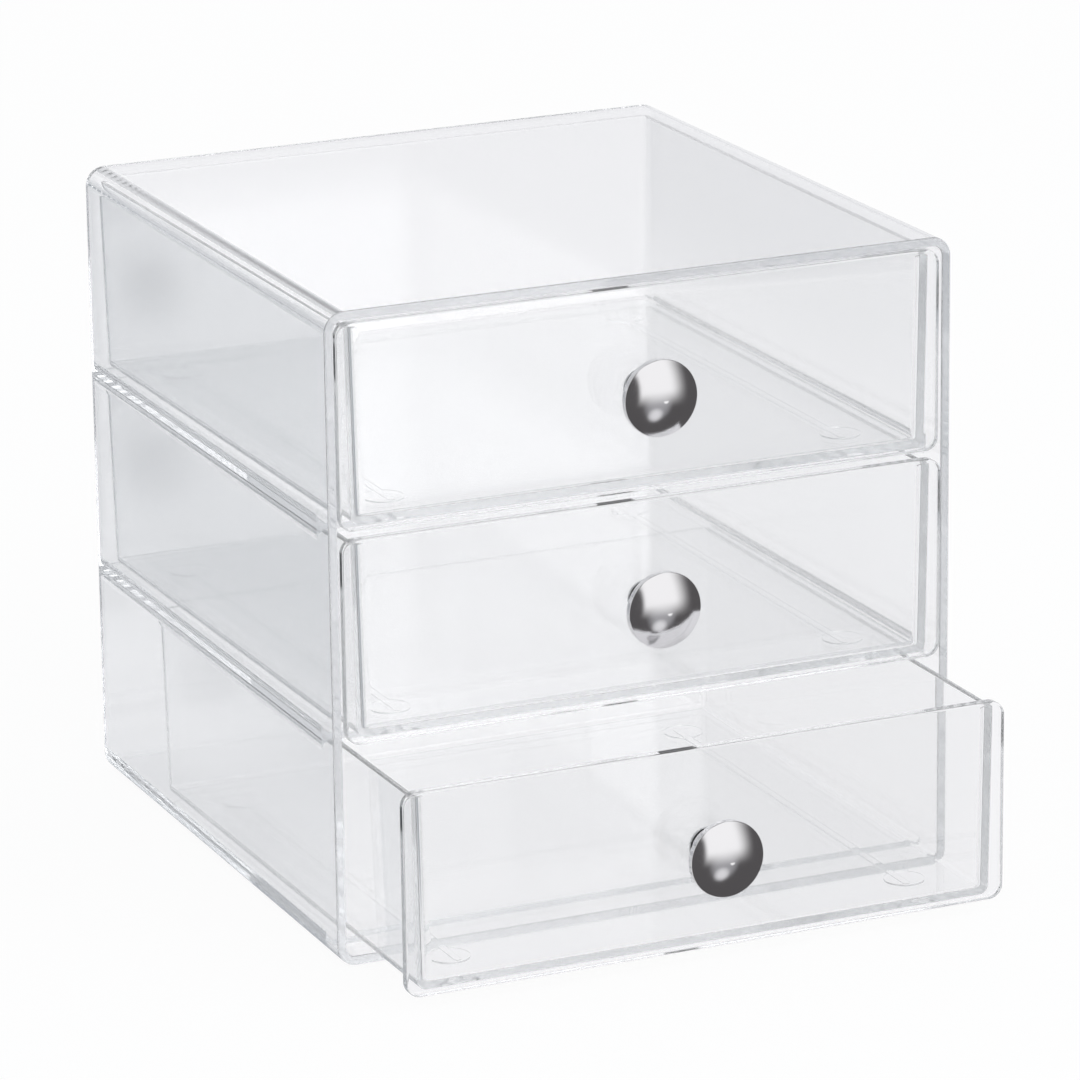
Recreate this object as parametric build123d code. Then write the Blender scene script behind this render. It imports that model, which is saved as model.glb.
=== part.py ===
"""A clear desktop organizer: a one-piece moulded case with three identical moulded drawers.

Millimetres. The origin is the centre of the case's underside. +X is to the right, seen from the
front, -Y is the front, where the drawers come out, and +Z is up.
The top drawer is shut, the middle one isn't quite pushed home, and the bottom one stands part of
the way open.
"""
from build123d import *
import math
import os

# ---- Case ------------------------------------------------------------------
case_width = 178.0             # across the front face
case_depth = 178.0             # front face to back face
side_wall = 2.5
top_wall = 2.5
back_wall = 2.0
floor_thickness = 4.2
sill_height = 2.5              # lower edge of the mouth, where the floor steps down in front
side_draft = 1.5               # how much each side leans in from the front face to the back face
case_corner_radius = 5.5       # long outer edges, front to back
bay_corner_radius = 2.5        # inside corners of the bays
case_back_radius = 2.5         # outer edges round the back face
case_lip_radius = 0.5          # edges of the front rim
shelf_thickness = 1.8
shelf_setback = 10.0           # front edge of each shelf and of the raised floor, behind the front face

# ---- Drawers ---------------------------------------------------------------
drawer_names = ["bottom", "middle", "top"]
bottom_drawer_opening = 38.0   # how far the bottom drawer stands out
middle_drawer_opening = 1.5    # how far the middle drawer stands out
panel_height = 55.1
panel_thickness = 3.0
panel_corner_radius = 4.0
panel_edge_radius = 0.5
panel_side_gap = 0.75          # panel edge to side wall, each side
panel_top_gap = 0.7            # top panel to the underside of the case's top wall
panel_row_gap = 1.6            # between one panel and the next
panel_drop = 0.4               # panel's lower edge below the surface that the drawer slides on
panel_overhang = 2.75          # panel edge beyond the tub's rim, each side
tub_wall = 1.6
tub_floor = 1.8
tub_floor_lift = 1.3           # tub's underside above the panel's lower edge
tub_rim_drop = 1.5             # tub's rim below the panel's upper edge
tub_draft = 1.0                # degrees, on the sides and the back
tub_back_gap = 1.2             # tub's rim to the case's back wall, drawer shut
tub_edge_radius = 2.5          # outer edges, upright at the back and round the floor
tub_front_radius = 2.5         # inner upright corners behind the panel
rim_radius = 0.5               # rounding of the rim

# ---- Runners under each drawer ----------------------------------------------
runner_width = 2.0
runner_spacing = 130.0         # centre to centre
runner_gap = 0.3               # running gap over the surface below
runner_front_inset = 16.0      # runner's front end, behind the panel's front face
runner_back_inset = 16.0       # runner's back end, ahead of the tub's back
pad_diameter = 11.0            # round pads at the runners' ends
pad_height = 0.4
pad_spacing = 132.0            # centre to centre, across the drawer
pad_inset = 4.0                # pad centre, inwards from the runner's end

# ---- Knob and its fixing ----------------------------------------------------
knob_diameter = 20.6
knob_rim_back = 7.9            # back of the rim, in front of the panel
knob_rim_band = 2.0            # straight band round the rim
knob_dome_height = 3.0
knob_edge_radius = 0.35
knob_foot_diameter = 11.0
knob_neck_diameter = 8.4
knob_foot_band = 0.8
screw_diameter = 4.0
screw_bite = 6.5               # length of the screw inside the knob
screw_tip_gap = 0.8            # room past the screw's tip
screw_head_diameter = 7.6
screw_head_height = 2.4
cross_length = 4.4             # driving recess
cross_width = 0.9
cross_depth = 1.4
thread_gap = 0.05              # screw to the knob's hole, on radius
screw_hole_gap = 0.25          # screw to the holes in panel and washer, on radius
washer_diameter = 10.0
washer_thickness = 0.8

# ---- Worked out from the driving dimensions ---------------------------------
drawer_count = len(drawer_names)
drawer_openings = [bottom_drawer_opening, middle_drawer_opening, 0]
drawer_pitch = panel_height + panel_row_gap
bottom_panel_level = floor_thickness - panel_drop
opening_top = bottom_panel_level + drawer_count * drawer_pitch - panel_row_gap + panel_top_gap
case_height = opening_top + top_wall
case_front = -case_depth / 2
case_back = case_depth / 2
bay_half_width = case_width / 2 - side_wall
bay_back = case_back - back_wall
shelf_front = case_front + shelf_setback
panel_width = 2 * (bay_half_width - panel_side_gap)
panel_back = case_front + panel_thickness
tub_rim_half_width = panel_width / 2 - panel_overhang
tub_rim_back = bay_back - tub_back_gap
tub_height = panel_height - tub_floor_lift - tub_rim_drop
draft_slope = math.tan(math.radians(tub_draft))
runner_height = tub_floor_lift - panel_drop - runner_gap
knob_height = panel_height / 2
knob_bore_radius = screw_diameter / 2 + thread_gap
clear_hole_radius = screw_diameter / 2 + screw_hole_gap


def edges_along(block, direction):
    """The edges of a block that run within a few degrees of a direction."""
    return block.edges().filter_by(lambda edge: abs((edge @ 1 - edge @ 0).normalized().dot(direction)) > 0.9)


def drafted_block(front_half_width, low, high, radius, front, back):
    """A block whose sides lean in by the case's draft from front to back, with its long edges rounded."""
    lean = side_draft / case_depth
    near = front_half_width - lean * (front - case_front)
    far = front_half_width - lean * (back - case_front)
    plan = make_face(Polyline((-near, front), (near, front), (far, back), (-far, back), close=True))
    block = extrude(Pos(0, 0, low) * plan, high - low)
    return fillet(edges_along(block, Vector(0, 1, 0)), radius)


def make_case():
    """The case: a drafted box, open at the front, with its two shelves moulded in."""
    body = drafted_block(case_width / 2, 0, case_height, case_corner_radius, case_front, case_back)
    body = fillet(body.faces().sort_by(Axis.Y)[-1].edges(), case_back_radius)
    body -= drafted_block(bay_half_width, sill_height, opening_top, bay_corner_radius,
                          case_front - 1, shelf_front)
    for row in range(drawer_count):
        low = floor_thickness + row * drawer_pitch
        is_top_bay = row == drawer_count - 1
        high = opening_top if is_top_bay else low + drawer_pitch - shelf_thickness
        body -= drafted_block(bay_half_width, low, high, bay_corner_radius, shelf_front - 1, bay_back)
    rim = body.faces().sort_by(Axis.Y)[0]
    return fillet(rim.edges(), case_lip_radius)


def drafted_tub(inset, front, low, high):
    """A square-cornered block with the tub's draft on its sides and back, inset from the tub's faces."""
    rim_level = tub_floor_lift + tub_height
    low_lean = (rim_level - low) * draft_slope + inset
    high_lean = (rim_level - high) * draft_slope + inset
    low_side = tub_rim_half_width - low_lean
    high_side = tub_rim_half_width - high_lean
    low_back = tub_rim_back - low_lean
    high_back = tub_rim_back - high_lean
    front_view = Polyline((-low_side, low), (low_side, low), (high_side, high), (-high_side, high), close=True)
    side_view = Polyline((front, low), (low_back, low), (high_back, high), (front, high), close=True)
    across = extrude(Plane.XZ * make_face(front_view), 2 * case_depth, both=True)
    along = extrude(Plane.YZ * make_face(side_view), 2 * case_width, both=True)
    return across & along


def upright_edges(block):
    """The upright edges of a block, from front to back."""
    return edges_along(block, Vector(0, 0, 1)).sort_by(Axis.Y)


def bottom_edges(block):
    """The edges round a block's lowest face."""
    return block.faces().sort_by(Axis.Z)[0].edges()


def make_tub():
    """The drawer's open tub, from the middle of the panel's thickness to the back."""
    rim_level = tub_floor_lift + tub_height
    outside = drafted_tub(0, case_front + panel_thickness / 2, tub_floor_lift, rim_level)
    rounded = upright_edges(outside)[2:] + bottom_edges(outside).sort_by(Axis.Y)[1:]
    outside = fillet(rounded, tub_edge_radius)
    inside = drafted_tub(tub_wall, panel_back, tub_floor_lift + tub_floor, rim_level)
    inside = fillet(upright_edges(inside)[:2], tub_front_radius)
    inside = fillet(upright_edges(inside)[-2:] + bottom_edges(inside), tub_edge_radius - tub_wall)
    tub = outside - inside
    return fillet(tub.faces().sort_by(Axis.Z)[-1].edges(), rim_radius)


def make_panel():
    """The drawer's front panel, with its rounded corners and softened edges."""
    outline = Pos(0, panel_height / 2) * RectangleRounded(panel_width, panel_height, panel_corner_radius)
    panel = extrude(Plane.XZ * outline, -panel_thickness)
    panel = fillet(panel.edges().filter_by(Plane.XZ), panel_edge_radius)
    return Pos(0, case_front, 0) * panel


def make_runners():
    """The two runners under the tub's floor, with a round pad at each end."""
    front = case_front + runner_front_inset
    back = tub_rim_back - runner_back_inset
    length = back - front
    runner = extrude(SlotOverall(length, runner_width, rotation=90), -runner_height)
    pad = extrude(Circle(pad_diameter / 2), -pad_height)
    pieces = []
    for side in (-1, 1):
        pieces.append(Pos(side * runner_spacing / 2, (front + back) / 2, tub_floor_lift) * runner)
        for y in (front + pad_inset, back - pad_inset):
            pieces.append(Pos(side * pad_spacing / 2, y, tub_floor_lift) * pad)
    return pieces


def make_drawer():
    """One drawer, shut, with its panel's lower edge at level 0."""
    drawer = make_tub() + make_panel()
    for piece in make_runners():
        drawer += piece
    hole = Cylinder(clear_hole_radius, 4 * panel_thickness, rotation=(90, 0, 0))
    return drawer - Pos(0, case_front, knob_height) * hole


def make_knob():
    """The knob: a foot on the panel, a narrow neck, a flared rim and a shallow domed face."""
    foot = knob_foot_diameter / 2
    neck = knob_neck_diameter / 2
    rim = knob_diameter / 2
    shoulder_radius = foot - neck
    neck_level = knob_foot_band + shoulder_radius
    rim_front = knob_rim_back + knob_rim_band
    apex = rim_front + knob_dome_height
    profile = Curve() + [
        Line((0, 0), (foot, 0)),
        Line((foot, 0), (foot, knob_foot_band)),
        CenterArc((foot, neck_level), shoulder_radius, 180, 90),
        EllipticalCenterArc((rim, neck_level), rim - neck, knob_rim_back - neck_level, 90, arc_size=90),
        Line((rim, knob_rim_back), (rim, rim_front)),
        TangentArc((0, apex), (rim, rim_front), tangent=(1, 0)),
        Line((0, apex), (0, 0)),
    ]
    knob = revolve(Plane.XZ * make_face(profile), Axis.Z)
    rim_edges = knob.edges().filter_by(GeomType.CIRCLE).filter_by(lambda edge: edge.radius > rim - 0.01)
    knob = fillet(rim_edges, knob_edge_radius)
    bore_depth = screw_bite + screw_tip_gap
    knob -= Cylinder(knob_bore_radius, 2 * bore_depth)
    return Pos(0, case_front, knob_height) * Rot(90, 0, 0) * knob


def make_washer():
    """The plain washer between the screw's head and the panel's inner face."""
    ring = Circle(washer_diameter / 2) - Circle(clear_hole_radius)
    washer = extrude(ring, washer_thickness)
    return Pos(0, panel_back, knob_height) * Rot(-90, 0, 0) * washer


def make_screw():
    """The screw that holds the knob, put in from inside the drawer, with a cross recess."""
    head_base = panel_back + washer_thickness
    length = washer_thickness + panel_thickness + screw_bite
    head = extrude(Circle(screw_head_diameter / 2), screw_head_height)
    head = fillet(head.edges().sort_by(Axis.Z)[-1], screw_head_height * 0.45)
    recess = Box(cross_length, cross_width, 2 * cross_depth) + Box(cross_width, cross_length, 2 * cross_depth)
    head -= Pos(0, 0, screw_head_height) * recess
    shank = extrude(Circle(screw_diameter / 2), -length)
    shank = chamfer(shank.edges().sort_by(Axis.Z)[0], screw_diameter / 8)
    return Pos(0, head_base, knob_height) * Rot(-90, 0, 0) * (head + shank)


def place(piece, name):
    """Moves a piece made for a shut drawer at level 0 to its own row and opening."""
    row = drawer_names.index(name)
    return Pos(0, -drawer_openings[row], bottom_panel_level + row * drawer_pitch) * piece


os.makedirs("parts", exist_ok=True)
export_step(make_case(), "parts/case.step")
drawer_pieces = {
    "drawer": make_drawer(),
    "knob": make_knob(),
    "knob_washer": make_washer(),
    "knob_screw": make_screw(),
}
for name in drawer_names:
    for piece_name, piece in drawer_pieces.items():
        export_step(place(piece, name), f"parts/{piece_name}_{name}.step")
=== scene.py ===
"""Looks for a clear three-drawer countertop organizer, on a white studio sweep."""
import math

import bpy
from mathutils import Matrix, Vector

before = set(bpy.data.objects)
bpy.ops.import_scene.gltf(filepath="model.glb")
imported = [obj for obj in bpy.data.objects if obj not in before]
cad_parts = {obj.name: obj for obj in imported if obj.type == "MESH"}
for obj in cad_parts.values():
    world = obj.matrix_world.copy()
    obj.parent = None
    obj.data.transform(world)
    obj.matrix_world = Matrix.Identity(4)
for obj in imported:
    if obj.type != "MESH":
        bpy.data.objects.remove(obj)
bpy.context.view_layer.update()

MM = 0.001
WHITE = "#ffffff"
DRAWERS = ("top", "middle", "bottom")

# A Mix node's colour sockets share their names with its other sockets, so they go by number.
MIX_SHARE, MIX_FROM, MIX_TO, MIX_RESULT = 0, 6, 7, 2


# ---- Colours, nodes and directions ---------------------------------------------
def linear(hex_colour):
    """A linear colour from an sRGB hex value."""
    channels = [int(hex_colour[i:i + 2], 16) / 255 for i in (1, 3, 5)]
    return [c / 12.92 if c <= 0.04045 else ((c + 0.055) / 1.055) ** 2.4 for c in channels] + [1.0]


def add_node(tree, kind, inputs=None, **settings):
    """Adds a node, sets its properties, and sets or links its inputs."""
    node = tree.nodes.new(kind)
    for name, value in settings.items():
        setattr(node, name, value)
    for socket, value in (inputs or {}).items():
        if isinstance(value, bpy.types.NodeSocket):
            tree.links.new(value, node.inputs[socket])
        else:
            node.inputs[socket].default_value = value
    return node


def aim(azimuth, elevation):
    """A unit direction from the object: degrees from straight in front to its right, and upwards."""
    turn, rise = math.radians(azimuth), math.radians(elevation)
    return (math.sin(turn) * math.cos(rise), -math.cos(turn) * math.cos(rise), math.sin(rise))


# ---- Materials -----------------------------------------------------------------
POLYSTYRENE_INDEX = 1.57        # a little under the usual 1.59
MOULDED_ROUGHNESS = 0.04        # without it, light trapped in the shelves shows as rows of bright beads
ABSORPTION_DENSITY = 2.5
CASE_TINT = "#e6e8ea"
DRAWER_TINT = "#e8eaeb"
RIPPLE_WIDTH = 71.4 * MM        # a very faint waviness of the moulded faces
RIPPLE_DEPTH = 0.3 * MM
RIPPLE_STRENGTH = 0.01


def new_material(name):
    """An empty node material, its tree and its output node."""
    material = bpy.data.materials.new(name)
    material.use_nodes = True
    material.node_tree.nodes.clear()
    output = material.node_tree.nodes.new("ShaderNodeOutputMaterial")
    return material, material.node_tree, output


def clear_polystyrene(name, tint):
    """Injection-moulded clear polystyrene, polished in the mould.

    High gloss and a high index give bright rims and hard edge lines. Long paths through the
    plastic, as along an edge, look cool grey, which the volume gives.
    """
    material, tree, output = new_material(name)
    coordinates = add_node(tree, "ShaderNodeTexCoord")
    ripple = add_node(tree, "ShaderNodeTexNoise",
                      {"Vector": coordinates.outputs["Object"], "Scale": 1 / RIPPLE_WIDTH,
                       "Detail": 1.0, "Roughness": 0.4})
    bump = add_node(tree, "ShaderNodeBump",
                    {"Strength": RIPPLE_STRENGTH, "Distance": RIPPLE_DEPTH, "Height": ripple.outputs["Fac"]})
    surface = add_node(tree, "ShaderNodeBsdfPrincipled",
                       {"Base Color": linear(WHITE), "Roughness": MOULDED_ROUGHNESS,
                        "IOR": POLYSTYRENE_INDEX, "Transmission Weight": 1.0,
                        "Normal": bump.outputs["Normal"]})
    volume = add_node(tree, "ShaderNodeVolumeAbsorption",
                      {"Color": linear(tint), "Density": ABSORPTION_DENSITY})
    tree.links.new(surface.outputs["BSDF"], output.inputs["Surface"])
    tree.links.new(volume.outputs["Volume"], output.inputs["Volume"])
    return material


def plated_metal(name, colour, cloud_width, cloud_detail, shiniest, dullest):
    """A plated metal whose roughness varies between two values over small clouds."""
    material, tree, output = new_material(name)
    coordinates = add_node(tree, "ShaderNodeTexCoord")
    cloud = add_node(tree, "ShaderNodeTexNoise",
                     {"Vector": coordinates.outputs["Object"], "Scale": 1 / cloud_width,
                      "Detail": cloud_detail})
    roughness = add_node(tree, "ShaderNodeMapRange",
                         {"Value": cloud.outputs["Fac"], "To Min": shiniest, "To Max": dullest})
    surface = add_node(tree, "ShaderNodeBsdfPrincipled",
                       {"Base Color": linear(colour), "Metallic": 1.0,
                        "Roughness": roughness.outputs["Result"]})
    tree.links.new(surface.outputs["BSDF"], output.inputs["Surface"])
    return material


def polished_nickel():
    """Nickel plate on a turned and buffed knob: mirror-like, with a very slight unevenness.

    Real buffing marks are finer. These are drawn as coarse as they need to be to show.
    """
    return plated_metal("polished_nickel_plate", "#e2e1e3", cloud_width=1.11 * MM, cloud_detail=3.0,
                        shiniest=0.1, dullest=0.17)


def zinc_steel():
    """Bright zinc plate on screws and washers: slightly cloudy, and less glossy than the knob.

    The clouds are drawn coarser than real ones, so that they show.
    """
    return plated_metal("zinc_plated_steel", "#d8d9da", cloud_width=1.67 * MM, cloud_detail=4.0,
                        shiniest=0.22, dullest=0.36)


def dress(node_name, material):
    """Gives a frame node its finish."""
    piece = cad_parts[node_name]
    piece.data.materials.clear()
    piece.data.materials.append(material)


def dress_organizer():
    """Finishes on every piece of the organizer."""
    case_plastic = clear_polystyrene("clear_moulded_polystyrene_case", CASE_TINT)
    drawer_plastic = clear_polystyrene("clear_moulded_polystyrene_drawer", DRAWER_TINT)
    nickel = polished_nickel()
    zinc = zinc_steel()
    dress("case", case_plastic)
    for name in DRAWERS:
        dress(f"drawer_{name}", drawer_plastic)
        dress(f"knob_{name}", nickel)
        dress(f"knob_washer_{name}", zinc)
        dress(f"knob_screw_{name}", zinc)


# ---- Floor ---------------------------------------------------------------------
# Places are in metres. A glow is the share of the floor that shows as a plain colour, not as lit paint.
FLOOR_LEVEL = -0.0002
FLOOR_SIZE = 40.0
FLOOR_PAINT = "#f1f2f4"
GLOW_TO_CAMERA = 0.95
GLOW_THROUGH_PLASTIC = 0.95
GLOW_AFTER_MIRRORING = 0.7
ANY_MIRRORING = 0.5                     # a glossy depth above this is one mirroring or more
GROUND_THROUGH_PLASTIC = "#f9f9fb"
PAINTED_SHADE_IN_FRONT = "#dfe2e6"             # painted shade: the greyer glow seen straight through the plastic, in front of DIM_FRONT_Y
DIM_FRONT_Y, LIT_FRONT_Y = -0.4, -0.14
DIM_GROUND = "#848a90"                  # painted shade: the darker glow seen mirrored in the plastic, to the left of DIM_SIDE_X
DIM_SIDE_X, LIT_SIDE_X = -0.19, -0.11


def floor_material():
    """White paint that takes a shadow, mixed with a glow for the camera and the clear plastic. The glow that
    the plastic shows has painted shade, greyer in front and darker on the left.
    """
    material, tree, output = new_material("white_sweep")
    path = add_node(tree, "ShaderNodeLightPath")
    straight = add_node(tree, "ShaderNodeMath",
                        {0: path.outputs["Glossy Depth"], 1: ANY_MIRRORING}, operation="LESS_THAN")
    glow_share = add_node(tree, "ShaderNodeMapRange",
                          {"Value": straight.outputs["Value"],
                           "To Min": GLOW_AFTER_MIRRORING, "To Max": GLOW_THROUGH_PLASTIC})
    through = add_node(tree, "ShaderNodeMath",
                       {0: path.outputs["Is Transmission Ray"], 1: glow_share.outputs["Result"]},
                       operation="MULTIPLY")
    direct = add_node(tree, "ShaderNodeMath",
                      {0: path.outputs["Is Camera Ray"], 1: GLOW_TO_CAMERA}, operation="MULTIPLY")
    share = add_node(tree, "ShaderNodeMath",
                     {0: through.outputs["Value"], 1: direct.outputs["Value"]}, operation="MAXIMUM")
    place = add_node(tree, "ShaderNodeTexCoord")
    split = add_node(tree, "ShaderNodeSeparateXYZ", {"Vector": place.outputs["Object"]})
    # Painted shade: the glow turns darker to the left of LIT_SIDE_X and greyer in front of LIT_FRONT_Y.
    lit_side = add_node(tree, "ShaderNodeMapRange",
                        {"Value": split.outputs["X"], "From Min": DIM_SIDE_X, "From Max": LIT_SIDE_X},
                        interpolation_type="SMOOTHSTEP")
    mirrored_colour = add_node(tree, "ShaderNodeMix",
                               {MIX_SHARE: lit_side.outputs["Result"], MIX_FROM: linear(DIM_GROUND),
                                MIX_TO: linear(GROUND_THROUGH_PLASTIC)}, data_type="RGBA")
    lit_front = add_node(tree, "ShaderNodeMapRange",
                         {"Value": split.outputs["Y"], "From Min": DIM_FRONT_Y, "From Max": LIT_FRONT_Y},
                         interpolation_type="SMOOTHSTEP")
    straight_colour = add_node(tree, "ShaderNodeMix",
                               {MIX_SHARE: lit_front.outputs["Result"], MIX_FROM: linear(PAINTED_SHADE_IN_FRONT),
                                MIX_TO: linear(GROUND_THROUGH_PLASTIC)}, data_type="RGBA")
    through_colour = add_node(tree, "ShaderNodeMix",
                              {MIX_SHARE: straight.outputs["Value"],
                               MIX_FROM: mirrored_colour.outputs[MIX_RESULT],
                               MIX_TO: straight_colour.outputs[MIX_RESULT]}, data_type="RGBA")
    glow_colour = add_node(tree, "ShaderNodeMix",
                           {MIX_SHARE: path.outputs["Is Camera Ray"],
                            MIX_FROM: through_colour.outputs[MIX_RESULT],
                            MIX_TO: linear(WHITE)}, data_type="RGBA")
    paint = add_node(tree, "ShaderNodeBsdfDiffuse", {"Color": linear(FLOOR_PAINT)})
    glow = add_node(tree, "ShaderNodeEmission",
                    {"Color": glow_colour.outputs[MIX_RESULT], "Strength": 1.0})
    mixed = add_node(tree, "ShaderNodeMixShader",
                     {0: share.outputs["Value"], 1: paint.outputs["BSDF"], 2: glow.outputs["Emission"]})
    tree.links.new(mixed.outputs["Shader"], output.inputs["Surface"])
    return material


def make_floor():
    """A wide white floor that keeps a soft shadow.

    The camera sees it as the photograph's white ground. The clear plastic shows that ground too,
    with painted shade on it: greyer far in front of the object, and, where it is mirrored in the
    plastic, dimmer and darker on the left. Mirror reflections show the room in the floor's place.
    """
    mesh = bpy.data.meshes.new("floor")
    half = FLOOR_SIZE / 2
    mesh.from_pydata([(-half, -half, FLOOR_LEVEL), (half, -half, FLOOR_LEVEL),
                      (half, half, FLOOR_LEVEL), (-half, half, FLOOR_LEVEL)], [], [(0, 1, 2, 3)])
    mesh.materials.append(floor_material())
    floor = bpy.data.objects.new("floor", mesh)
    floor.visible_glossy = False
    bpy.context.scene.collection.objects.link(floor)


# ---- Room and lamp -------------------------------------------------------------
ROOM_LOW = "#f6f7f9"            # the plain room at and under the horizon, then by height to overhead
ROOM_STEPS = ((0.3, "#dddfe2"), (0.6, "#cbcdd0"))
ROOM_OVERHEAD = "#e4e6ea"
PALENESS_THROUGH_PLASTIC = 0.65         # the plain room's share in what shows through the plastic
STUDIO_DARK = "#5c5a5b"
BRIGHT_SIDE = (-0.45, 0.89, 0.0)        # behind on the left
BRIGHT_STARTS, BRIGHT_FULL = 0.0, 0.35  # cosines of the angle from the bright side
STUDIO_PATCHES = (          # centre (azimuth, elevation), inner and outer radius, in degrees, and colour
    ((-156, -17), 16, 42, "#a3abb3"),       # the darker room behind on the left
    ((156, 17), 15, 50, "#ededf0"),         # the wall behind on the right
    ((180, -20), 8, 30, "#a2a8ae"),         # the edge of the table straight behind
    ((180, 50), 10, 35, "#a0a4a9"),         # the ceiling behind
    ((13, -22), 8, 25, "#a9a9ac"),          # the lit table in front
    ((11, -36), 2, 13, "#f4f4f6"))          # a bright spot on it
SOFTBOX_AZIMUTH = 18.0                  # where the lamp below stands, in degrees to the right of the front
SOFTBOX_STRENGTH = 1.15
SOFTBOX_THROUGH_PLASTIC = "#f8f8f9"
SOFTBOX_EDGES = (           # axis of the turned direction, angles of no light and of full light
    ("X", -39, -31), ("X", 50, 14), ("Z", -26, 2), ("Z", 78, 66))
LAMP_PLACE = (0.46, -1.43, 1.25)        # metres
LAMP_TARGET = (0.0, 0.0, 1.25)
LAMP_WIDTH, LAMP_HEIGHT = 2.0, 2.4
LAMP_WATTS = 27


def add_patch(tree, direction, centre, inner, outer):
    """A soft round patch of the room: 1 within inner degrees of its centre, 0 past outer degrees."""
    nearness = add_node(tree, "ShaderNodeVectorMath", {0: direction, 1: centre}, operation="DOT_PRODUCT")
    patch = add_node(tree, "ShaderNodeMapRange",
                     {"Value": nearness.outputs["Value"], "From Min": math.cos(math.radians(outer)),
                      "From Max": math.cos(math.radians(inner))}, interpolation_type="SMOOTHSTEP")
    return patch.outputs["Result"]


def add_softbox(tree, direction):
    """The front softbox as gloss shows it: a tall window with soft edges, 1 inside and 0 outside."""
    turned = add_node(tree, "ShaderNodeVectorRotate",
                      {"Vector": direction, "Angle": math.radians(-SOFTBOX_AZIMUTH)},
                      rotation_type="Z_AXIS")
    split = add_node(tree, "ShaderNodeSeparateXYZ", {"Vector": turned.outputs["Vector"]})
    share = add_node(tree, "ShaderNodeMath", {0: split.outputs["Y"], 1: 0.0}, operation="LESS_THAN")
    for axis, outside, inside in SOFTBOX_EDGES:
        edge = add_node(tree, "ShaderNodeMapRange",
                        {"Value": split.outputs[axis], "From Min": math.sin(math.radians(outside)),
                         "From Max": math.sin(math.radians(inside))}, interpolation_type="SMOOTHSTEP")
        share = add_node(tree, "ShaderNodeMath",
                         {0: share.outputs["Value"], 1: edge.outputs["Result"]}, operation="MULTIPLY")
    return share.outputs["Value"]


def add_studio(tree, direction, path):
    """The studio that gloss shows: white behind on the left, else dark, with patches and softbox."""
    towards_bright_side = add_node(tree, "ShaderNodeVectorMath", {0: direction, 1: BRIGHT_SIDE},
                                   operation="DOT_PRODUCT")
    bright = add_node(tree, "ShaderNodeMapRange",
                      {"Value": towards_bright_side.outputs["Value"],
                       "From Min": BRIGHT_STARTS, "From Max": BRIGHT_FULL},
                      interpolation_type="SMOOTHSTEP")
    studio = add_node(tree, "ShaderNodeMix",
                      {MIX_SHARE: bright.outputs["Result"], MIX_FROM: linear(STUDIO_DARK),
                       MIX_TO: linear(WHITE)}, data_type="RGBA")
    for centre, inner, outer, colour in STUDIO_PATCHES:
        studio = add_node(tree, "ShaderNodeMix",
                          {MIX_SHARE: add_patch(tree, direction, aim(*centre), inner, outer),
                           MIX_FROM: studio.outputs[MIX_RESULT], MIX_TO: linear(colour)},
                          data_type="RGBA")
    softbox_glow = add_node(tree, "ShaderNodeMix",
                            {MIX_SHARE: path.outputs["Is Transmission Ray"],
                             MIX_FROM: [SOFTBOX_STRENGTH] * 3 + [1.0],
                             MIX_TO: linear(SOFTBOX_THROUGH_PLASTIC)}, data_type="RGBA")
    lit_studio = add_node(tree, "ShaderNodeMix",
                          {MIX_SHARE: add_softbox(tree, direction),
                           MIX_FROM: studio.outputs[MIX_RESULT],
                           MIX_TO: softbox_glow.outputs[MIX_RESULT]}, data_type="RGBA")
    return lit_studio.outputs[MIX_RESULT]


def make_world():
    """White to the camera, and a plain pale room that lights matt surfaces.

    Mirror reflections show the studio, and the plastic lets a paler studio through, mixed with
    the plain room.
    """
    world = bpy.data.worlds.new("studio")
    bpy.context.scene.world = world
    world.use_nodes = True
    tree = world.node_tree
    tree.nodes.clear()
    output = tree.nodes.new("ShaderNodeOutputWorld")
    path = add_node(tree, "ShaderNodeLightPath")
    direction = add_node(tree, "ShaderNodeTexCoord").outputs["Generated"]
    split = add_node(tree, "ShaderNodeSeparateXYZ", {"Vector": direction})
    studio = add_studio(tree, direction, path)
    plain_room = add_node(tree, "ShaderNodeValToRGB", {"Fac": split.outputs["Z"]})
    ramp = plain_room.color_ramp
    ramp.elements[0].color = linear(ROOM_LOW)
    ramp.elements[1].color = linear(ROOM_OVERHEAD)
    for position, colour in ROOM_STEPS:
        step = ramp.elements.new(position)
        step.color = linear(colour)
    paleness = add_node(tree, "ShaderNodeMath",
                        {0: path.outputs["Is Transmission Ray"], 1: PALENESS_THROUGH_PLASTIC},
                        operation="MULTIPLY")
    softened = add_node(tree, "ShaderNodeMix",
                        {MIX_SHARE: paleness.outputs["Value"], MIX_FROM: studio,
                         MIX_TO: plain_room.outputs["Color"]}, data_type="RGBA")
    seen = add_node(tree, "ShaderNodeMix",
                    {MIX_SHARE: path.outputs["Is Glossy Ray"], MIX_FROM: plain_room.outputs["Color"],
                     MIX_TO: softened.outputs[MIX_RESULT]}, data_type="RGBA")
    room = add_node(tree, "ShaderNodeBackground", {"Color": seen.outputs[MIX_RESULT], "Strength": 1.0})
    white = add_node(tree, "ShaderNodeBackground", {"Color": linear(WHITE), "Strength": 1.0})
    mixed = add_node(tree, "ShaderNodeMixShader",
                     {0: path.outputs["Is Camera Ray"], 1: room.outputs["Background"],
                      2: white.outputs["Background"]})
    tree.links.new(mixed.outputs["Shader"], output.inputs["Surface"])


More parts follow.
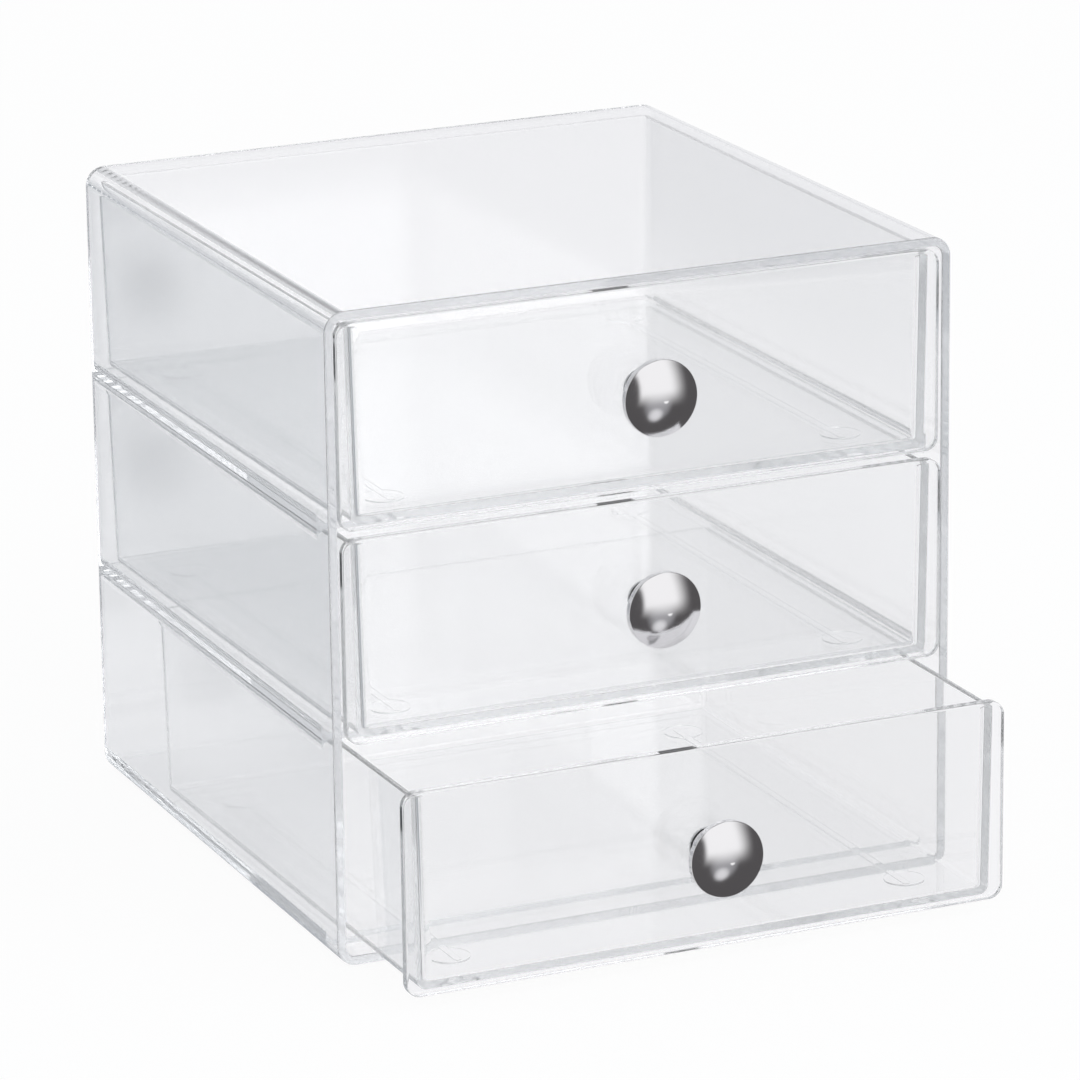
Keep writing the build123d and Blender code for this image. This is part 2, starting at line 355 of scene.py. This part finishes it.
def make_front_softbox():
    """The soft box lamp in front on the right. Gloss shows the world's softbox in its place."""
    data = bpy.data.lights.new("front_softbox", "AREA")
    data.shape = "RECTANGLE"
    data.size = LAMP_WIDTH
    data.size_y = LAMP_HEIGHT
    data.energy = LAMP_WATTS
    lamp = bpy.data.objects.new("front_softbox", data)
    lamp.location = LAMP_PLACE
    facing = Vector(LAMP_TARGET) - Vector(LAMP_PLACE)
    lamp.rotation_euler = facing.to_track_quat("-Z", "Y").to_euler()
    lamp.visible_camera = False
    lamp.visible_glossy = False
    bpy.context.scene.collection.objects.link(lamp)


# ---- Camera --------------------------------------------------------------------
CAMERA_AZIMUTH = -24.11                 # degrees: the camera stands to the left of the front
CAMERA_ELEVATION = 16.87
CAMERA_ROLL = math.radians(-0.72)
CAMERA_PLACE = Vector((-664.6, -1506.5, 579.1)) * MM
CLIP_START, CLIP_END = 0.05, 100.0      # metres
FRAME_PIXELS = 1080
FOCAL_PIXELS = 6288.5
SENSOR_WIDTH = 36.0                     # millimetres


def make_camera():
    """The camera at the photograph's place, aim and focal length."""
    data = bpy.data.cameras.new("camera")
    data.sensor_width = SENSOR_WIDTH
    data.lens = FOCAL_PIXELS * SENSOR_WIDTH / FRAME_PIXELS
    data.clip_start = CLIP_START
    data.clip_end = CLIP_END
    camera = bpy.data.objects.new("camera", data)
    turn = math.radians(CAMERA_AZIMUTH)
    forward = -Vector(aim(CAMERA_AZIMUTH, CAMERA_ELEVATION))
    right = Vector((math.cos(turn), math.sin(turn), 0.0))
    up = right.cross(forward)
    turned_right = math.cos(CAMERA_ROLL) * right + math.sin(CAMERA_ROLL) * up
    turned_up = -math.sin(CAMERA_ROLL) * right + math.cos(CAMERA_ROLL) * up
    axes = Matrix((turned_right, turned_up, -forward)).transposed()
    camera.matrix_world = Matrix.Translation(CAMERA_PLACE) @ axes.to_4x4()
    bpy.context.scene.collection.objects.link(camera)
    bpy.context.scene.camera = camera


# ---- Assembly ------------------------------------------------------------------
LIGHT_BOUNCES = 128             # one path crosses many clear walls

make_floor()
make_world()
make_front_softbox()
scene = bpy.context.scene
scene.view_settings.view_transform = "Standard"
scene.cycles.max_bounces = LIGHT_BOUNCES
scene.cycles.transmission_bounces = LIGHT_BOUNCES
scene.cycles.glossy_bounces = LIGHT_BOUNCES
scene.cycles.transparent_max_bounces = LIGHT_BOUNCES

dress_organizer()
make_camera()
